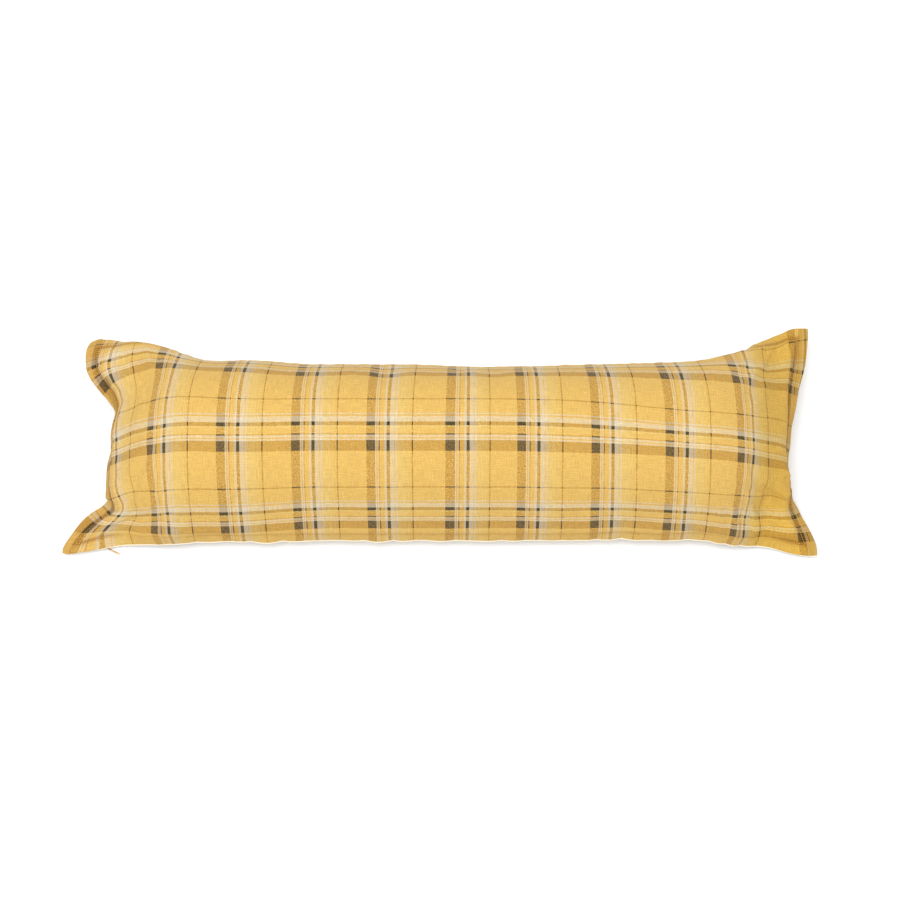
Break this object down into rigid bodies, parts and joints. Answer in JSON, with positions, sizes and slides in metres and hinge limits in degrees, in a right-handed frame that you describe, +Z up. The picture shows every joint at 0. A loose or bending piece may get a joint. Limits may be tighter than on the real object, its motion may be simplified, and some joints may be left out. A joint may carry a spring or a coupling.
{
  "type": "lumbar pillow",
  "caption": "Extra-long filled lumbar pillow in yellow plaid cloth with a flat stitched flange, lying on its back.",
  "frame": {"origin": "on the resting surface, under the middle of the pillow's bounding box", "axes": "+X along the pillow's length, +Y across it towards the far side, +Z up, out of the plaid front"},
  "size_m": [0.998, 0.3166, 0.1577],
  "materials": {
    "plaid_cloth": "slubby plain weave in a yellow, taupe, charcoal and cream plaid",
    "cream_cloth": "plain cream weave of the back",
    "aged_brass": "aged satin"
  },
  "bodies": {
    "root": {"pillow": "plaid_cloth", "zip_slider": "aged_brass", "zip_pull": "aged_brass"}
  },
  "joints": []
}
